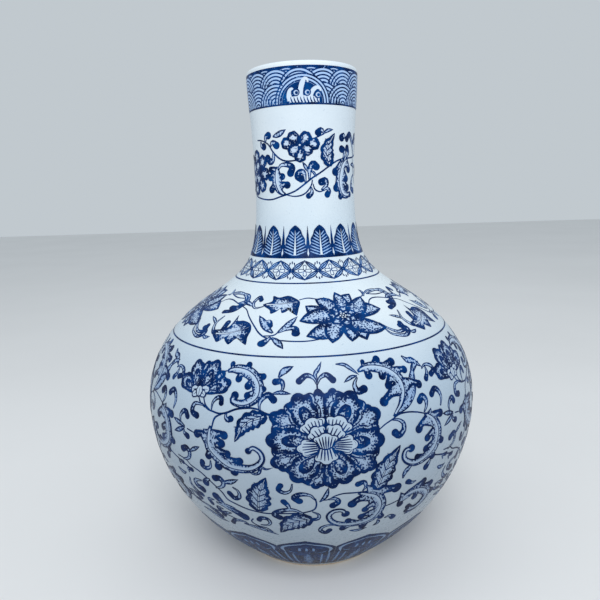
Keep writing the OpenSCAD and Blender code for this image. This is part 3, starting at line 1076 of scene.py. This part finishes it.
def neck_scrolls(p):
    draw(p, stem, [
        (0.58, (-60, 285), (-52, 284.5), (-45, 283), (-40, 281), (-34, 276), (-26, 272), (-18, 270.5),
         (-6, 271), (-1, 272)),
        (0.58, (-82, 252), (-70, 249), (-50, 247), (-38, 247), (-28, 248.5), (-20, 249.8), (-10, 252),
         (0, 256), (8, 259.5), (18, 263), (28, 266.8), (38, 270), (48, 271.5), (70, 273), (84, 276)),
        (0.5, (-20, 249.5), (-12, 248.5), (-4, 249), (2, 251), (7, 255), (8.5, 258.5)),
        (0.5, (10, 283.5), (22, 286.5)),
        (0.5, (9, 256), (11, 252.5), (16, 251), (20, 251.5)),
        (0.5, (70, 273), (74, 262), (82, 256), (92, 253)),
    ])
    draw(p, curl, [
        (2.2, (22, 286.5), (19, 289), (15.5, 287.3)),
        (2.4, (-45, 283), (-44, 286), (-40, 287)),
        (2.4, (-38, 280), (-35, 282.5), (-30, 280.5)),
        (2.4, (-53, 284), (-52, 281.5), (-48, 280.5)),
        (2.5, (-34.5, 277), (-35, 272.5), (-39, 270.5), (-43, 273)),
        (2.4, (-30, 264.5), (-26, 268), (-18, 268.3), (-13, 266.5), (-15, 263)),
        (2.4, (1, 256.5), (-0.5, 263), (-5, 263.5), (-7.5, 260.8), (-3.5, 259.3)),
        (2.4, (5, 258.5), (6, 265), (9.5, 268.5), (13, 266.5)),
        (1.9, (7, 254), (7.5, 250.5), (4, 248.5)),
        (2.4, (18, 252), (24, 255), (23, 258), (18.5, 257)),
        (2.1, (20, 251.5), (24, 253), (27, 251.5), (25, 249)),
        (2.5, (50, 284), (48, 286), (45, 284.5)),
        (2.4, (48, 271.5), (50, 276), (45, 277.5)),
        (2.1, (52, 272), (57, 275), (55, 278.5)),
        (2.1, (72, 273), (68, 280), (60, 287), (54, 284)),
        (2.2, (80, 276), (82, 284), (76, 287), (72, 283)),
        (2.2, (74, 262), (68, 259), (66, 253), (72, 251)),
    ])
    draw(p, flame, [
        (2.0, (-34, 286), (-27, 287), (-18, 289.8)),
        (1.3, (21, 286.5), (26, 288.5), (33, 289.2)),
        (1.3, (-1.5, 269.5), (1, 267), (4.5, 263)),
        (1.0, (7, 264), (10, 263), (13, 260)),
        (1.6, (64, 268), (72, 268), (80, 266)),
    ])
    scroll(p, [0.5, 2.2, 2.9, 3.0, 2.4, 1.4, 0.5],
           [(-30, 267.5), (-32, 262), (-31, 256), (-27, 251.5), (-21, 249.8)],
           [(-31.5, 264, -40, 266.5, 1.9), (-31.5, 261, -41.5, 261.5, 2.2),
            (-30.5, 255, -40.5, 253.5, 2.2), (-31, 261, -24, 261.7, 2.0),
            (-28, 254, -18.5, 256.5, 2.1)])
    scroll(p, [0.5, 2.3, 3.0, 3.1, 2.7, 2.1, 1.1],
           [(56, 271.5), (48, 268), (44, 262), (43, 256), (46, 250.5), (52, 248.5), (60, 248.8)],
           [(46.5, 266, 35, 263.5, 2.4), (43.5, 258, 36, 253, 2.3), (45, 252, 42, 247.5, 1.9),
            (48, 268, 60, 265, 2.2), (44.5, 262, 54.5, 259, 2.1), (44.5, 255, 56, 253.5, 2.1)],
           head=1.8)


# ---------------------------------------------------------------- collar and mouth

def ground(p, low, high, ink):
    """A painted ground all the way round between two heights."""
    bearings = np.linspace(0, 360, AROUND, endpoint=False)
    heights = np.linspace(low, high, max(3, int((high - low) / 2)))
    grid = p.flat(np.stack(np.broadcast_arrays(bearings[:, None], heights[None]), -1))
    p.plate(grid, (ink, 1.0), closed=True)


def collar_leaves(p):
    """Plantain leaves standing on the ring at the root of the neck, with spikes between them."""
    count, half = 14, 8.1
    pitch = 360 / count
    bearings = [14.4 + k * pitch for k in range(count)]
    for x in bearings:
        low, high = p.flat((x + pitch / 2, 210.6)), p.flat((x + pitch / 2, 229.8))
        rise = high - low
        p.flat_stroke([low, low + 0.5 * rise, high], [1.5, 1.2, 0.7, 0.05])
        p.flat_stroke([low, low + 0.25 * rise], [0.7, 0.5, 0.1], ink=(0.1, 0), wash=0.2)

    widths = half * np.interp(np.linspace(0, 1, 24), [0, 0.25, 0.55, 0.75, 0.88, 0.97, 1],
                              [1.0, 0.97, 0.80, 0.60, 0.40, 0.17, 0.02])
    widths *= 0.88 + 0.14 * np.abs(np.cos(np.linspace(0, 3.5 * math.pi, 24)))
    vein_reach = [0, 0.25, 0.55, 0.75, 0.88], [0.9, 0.86, 0.68, 0.46, 0.25]
    side = np.array([1.0, 0.0])
    for x in bearings:
        base, tip = p.flat((x, 210.4)), p.flat((x, 230.2))
        rise = tip - base
        p.flat_stroke([base, base + 0.5 * rise, tip], widths, ink=(1, 0.9))
        with p.same_level():
            for i in range(8):
                share = 0.04 + 0.092 * i
                reach = half * float(np.interp(share + 0.12, *vein_reach))
                for way in (-1, 1):
                    start = base + share * rise + way * 0.75 * side
                    end = base + (share + 0.13) * rise + way * reach * side
                    p.flat_stroke([start, (start + end) / 2, end], [0.2, 0.4, 0.34, 0.1],
                                  ink=(0.3, 0.16), wash=0.9)
        p.flat_stroke([base + 0.04 * rise, base + 0.5 * rise, base + 0.84 * rise],
                      [0.75, 0.42, 0.06], ink=(0, 0), wash=0.1)


def collar_coins(p):
    """A chain of coins: lens shapes that cross round a four-petalled flower, ticks in the gaps."""
    count = 16
    half_pitch, half_height = math.pi * p.reference_r / count, 6.9
    centres = [p.flat((-2 + k * 360 / count, 201.9)) for k in range(count)]
    lenses = []
    for centre in centres:
        for side in (-1, 1):
            for way in (-1, 1):
                node, top = np.array([side * half_pitch, 0.0]), np.array([0.0, way * half_height])
                lenses.append(centre + np.array([1.12 * node - 0.12 * top, (node + top) / 2,
                                                 1.04 * top - 0.04 * node]))
    widths = [0.3, 1.3, 1.9, 1.3, 0.3]
    for line, look in [(widths, {}),
                       (widths, {"ink": (0.36, 0.16), "wash": 0.9, "grow": -0.74, "trim": 1.0}),
                       ([0.2, 0.5, 0.2], {"trim": 1.4})]:
        with p.same_level():
            for lens in lenses:
                p.flat_stroke(lens, line, **look)

    arms = [(0, 4.2), (0, -4.2), (4.8, 0), (-4.8, 0)]
    for inks, wash, grow in [((0.8, 0.8), 1.0, 0.12), ((0.02, 0.0), 0.1, -0.48)]:
        with p.same_level():
            for centre in centres:
                for arm in arms:
                    petal(p, centre, centre + arm, 1.5, inks, wash=wash, waist=0.3, grow=grow)
    with p.same_level():
        for centre in centres:
            for way in (-1, 1):
                for side in (-1, 0, 1):
                    foot = centre + (half_pitch + side * 1.5, way * (6.6 - 0.9 * abs(side)))
                    p.flat_stroke([foot, foot + (side * 0.6, -way * 2.0)], [0.5, 0.46, 0.24])


def half_disc(centre, radius, shares, every=1):
    """Flat half circles round a centre, at shares of a radius."""
    angle = np.linspace(0, math.pi, 25)[::every]
    rim = np.stack([np.cos(angle), np.sin(angle)], 1)
    return centre + rim[:, None] * radius * shares[None, :, None]


def wave(p, centre, radius, arcs):
    """Half a disc of concentric blue arcs on white."""
    p.plate(half_disc(centre, radius, np.linspace(0.05, 1, 8)), (0.06, 0.8))
    with p.same_level():
        for i in range(arcs):
            size = radius * (1 - i / arcs) - 0.35
            lines = size + 0.46 * np.array([-1.0, 0.0, 1.0])
            p.plate(half_disc(centre, 1, lines, every=2 if size < 5 else 1), (0.84, 1.0))


def mouth_waves(p):
    """Overlapping wave scales, in rows, each lower row lying on the one above. Neighbours in a
    row overlap too, so a row is laid in turns, with every third scale in each."""
    ground(p, 304.9, 326.3, 0.62)
    count, turns = 15, 3
    for low, radius, shift, arcs in [
        (321.6, 4.4, 0.25, 3), (321.6, 4.4, 0.75, 3), (320.2, 6.2, 0.5, 4),
        (316.9, 9.3, 0.0, 6), (313.4, 12.3, 0.5, 6), (304.9, 12.3, 0.5, 6),
    ]:
        for first in range(turns):
            for k in range(first, count, turns):
                with p.motif():
                    wave(p, p.flat((9 + (k + shift) * 360 / count, low)), radius, arcs)
            p.lift += 2 * LAYER


def mouth_crest(p):
    """A breaking wave: a dome of white arcs round dark water, with foam curling over it."""
    centre = p.flat((0, 304.9))
    wave(p, centre, 17.4, 9)
    p.plate(half_disc(centre, 12.6, np.linspace(0.05, 1, 7)), (1.0, 1.0))
    for widths, path in [
        ([1.6, 2.0, 1.6], [(-12.5, 307), (2, 307.2), (17, 306.9)]),
        ([1.7, 1.6, 1.2, 0.9, 0.4], [(-11.8, 306.5), (-13, 309.5), (-12.2, 312.3), (-9.8, 313.4),
                                     (-8.2, 312.3)]),
        ([2.4, 1.6, 1.5, 1.5, 1.0, 0.4], [(-1.6, 307), (-1.8, 311), (-0.3, 315.5), (2.4, 318.9),
                                          (5.2, 318.5), (5.5, 316.8)]),
        ([2.2, 1.5, 1.3, 1.2, 0.9, 0.4], [(7.5, 307), (8.3, 309.8), (11, 312.5), (14.5, 313.9),
                                          (17.6, 313.2), (18, 311.8)]),
    ]:
        p.stroke(path, widths, ink=(0.05, 0.0), wash=0.3)
    for x, z in [(-6.2, 311.2), (4.8, 311.2), (15.3, 309.8)]:
        p.dot((x, z), 2.4)
        p.dot((x + 0.3, z - 0.2), 1.5, inks=(0.1, 0.1), wash=0.6)
        p.dot((x + 0.8, z - 0.3), 1.0)
    with p.same_level():
        for i in range(9):
            x = -11 + 3.2 * i
            p.stroke([(x + 1.4, 305.2), (x + 0.2, 306.8), (x - 0.4, 308.6)], [0.45, 0.38, 0.12])


# ---------------------------------------------------------------- the foot band

def lappets(p):
    """Pointed petals standing on the foot, each with a face of eyes, bars and a long panel."""
    count = 15
    pitch = 360 / count
    low, top = 5.0, 46.0
    bearings = [-3.5 + k * pitch for k in range(count)]
    taper = np.interp(np.linspace(0, 1, 30), [0, 0.83, 0.89, 0.95, 1], [1, 1, 0.78, 0.42, 0.02])
    half = p.reference_r * math.radians(pitch / 2) * 0.995 * taper
    for x in bearings:
        base, tip = p.flat((x, low)), p.flat((x, top))
        p.flat_stroke([base, (base + tip) / 2, tip], half, ink=(1, 0.8))
    bars = [
        ([0.2, 0.9, 0.75, 0.55, 0.3], (0.25, 0.0), 0.7,
         [(9.4, 30.5), (10.0, 36), (7.4, 39.6), (3, 41.6), (0, 43)]),
        ([0.4, 0.8, 0.5], (0.4, 0.15), 1.0, [(10.2, 8), (10, 18), (9.8, 30)]),
        ([0.4, 0.75, 0.4], (0.4, 0.1), 1.0, [(6.6, 8), (6.6, 18), (6.6, 28)]),
        ([0.2, 0.45, 0.15], (0.4, 0.2), 1.0, [(4.3, 30.2), (6.8, 31.2), (8.6, 33)]),
    ]
    for x in bearings:
        with p.same_level():
            for way in (-1, 1):
                for widths, ink, wash, path in bars:
                    p.stroke([(x + way * dx, z) for dx, z in path], widths, ink=ink, wash=wash)
            for side in (-1, 0, 1):
                p.stroke([(x + side * 3, 33), (x + side * 2.8, 37)], [0.6, 0.75, 0.4],
                         ink=(0.35, 0.05))
            p.stroke([(x, 8), (x, 18), (x, 29)], [2.8, 3.6, 3.2, 0.2], ink=(0.7, 0.35))


# ---------------------------------------------------------------- painting the vase

BELLY_R, SHOULDER_R, NECK_R, MOUTH_R = 108, 75, 34, 35.5

# Each pattern: how often it comes round the vase, the radius at which it keeps its true size,
# and how high over the glaze its lowest shape lies.
PATTERNS = [
    (belly_vines, 4, BELLY_R, 0.04), (belly_curls, 4, BELLY_R, 0.08),
    (belly_scrolls_left, 4, BELLY_R, 0.12), (belly_scrolls_right, 4, BELLY_R, 0.12),
    (belly_scrolls_low, 4, BELLY_R, 0.12), (belly_leaves, 4, BELLY_R, 0.18),
    (belly_lotus, 4, BELLY_R, 0.18), (belly_peony, 4, BELLY_R, 0.2),
    (shoulder_flower, 4, SHOULDER_R, 0.18), (shoulder_scrolls, 4, SHOULDER_R, 0.05),
    (neck_flowers, 2, NECK_R, 0.16), (neck_scrolls, 2, NECK_R, 0.04),
    (collar_leaves, 1, 37, 0.05), (collar_coins, 1, 48, 0.05),
    (mouth_waves, 1, MOUTH_R, 0.05), (mouth_crest, 2, MOUTH_R, 0.24), (lappets, 1, 70, 0.05),
]

for pattern, repeats, reference_r, lift in PATTERNS:
    painting = Painting(reference_r, lift)
    pattern(painting)
    for k in range(repeats):
        name = pattern.__name__ + (f"_{k + 1}" if repeats > 1 else "")
        painting.build(name, COBALT, k * 360 / repeats)


# ---------------------------------------------------------------- camera, light and floor

SENSOR = 36                              # width of the camera's sensor
LENS = 34.494                            # its focal length
EYE = Vector((0, -0.4052, 0.2494))       # in metres
PITCH = math.radians(10.37)              # how far it looks down
YAW, ROLL = -0.0141, -0.0308             # how far it turns to the right and tilts, in radians
KEY_WATTS, TOP_WATTS = 17, 3
SKY = (0.86, 0.94, 1.0)
SKY_STRENGTH = 0.62


def camera():
    """An eye level with the neck and close in front, looking down at the belly."""
    data = bpy.data.cameras.new("camera")
    data.sensor_width = SENSOR
    data.lens = LENS
    data.clip_start = 0.01
    lens = bpy.data.objects.new("camera", data)
    bpy.context.scene.collection.objects.link(lens)
    ahead = Vector((math.sin(YAW), math.cos(YAW), 0))
    forward = math.cos(PITCH) * ahead - Vector((0, 0, math.sin(PITCH)))
    right = Vector((math.cos(YAW), -math.sin(YAW), 0))
    up = right.cross(forward)
    tilted_right = math.cos(ROLL) * right + math.sin(ROLL) * up
    tilted_up = math.cos(ROLL) * up - math.sin(ROLL) * right
    turn = Matrix((tilted_right, tilted_up, -forward)).transposed()
    lens.matrix_world = Matrix.Translation(EYE) @ turn.to_4x4()
    bpy.context.scene.camera = lens


def soft_light(name, place, target, size, watts):
    data = bpy.data.lights.new(name, "AREA")
    data.shape = "SQUARE"
    data.size = size
    data.energy = watts
    lamp = bpy.data.objects.new(name, data)
    lamp.location = place
    lamp.rotation_euler = (Vector(target) - Vector(place)).to_track_quat("-Z", "Y").to_euler()
    bpy.context.scene.collection.objects.link(lamp)


def studio():
    """Soft lights in front and above, a pale sky and a pale floor, with plain tones."""
    bpy.context.scene.view_settings.view_transform = "Standard"
    world = bpy.data.worlds.new("studio")
    world.use_nodes = True
    sky = world.node_tree.nodes["Background"].inputs
    sky["Color"].default_value = (*SKY, 1)
    sky["Strength"].default_value = SKY_STRENGTH
    bpy.context.scene.world = world
    soft_light("key", (0.08, -1.3, 1.3), (0, 0, 0.25), 0.9, KEY_WATTS)
    soft_light("top", (0.1, -0.1, 1.9), (0, 0, 0.2), 1.6, TOP_WATTS)

    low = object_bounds()[0][2]
    bpy.ops.mesh.primitive_plane_add(size=8, location=(0, 0, low))
    floor = bpy.context.object
    floor.name = "studio_floor"
    finish = Finish("pale_floor")
    tone = finish.ramp(finish.noise(3, 3), (0.3, grey(0.78)), (0.7, grey(0.81)))
    finish.feed(finish.shader["Base Color"], tone)
    finish.shader["Roughness"].default_value = 0.9
    floor.data.materials.append(finish.material)
    floor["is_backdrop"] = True


camera()
studio()
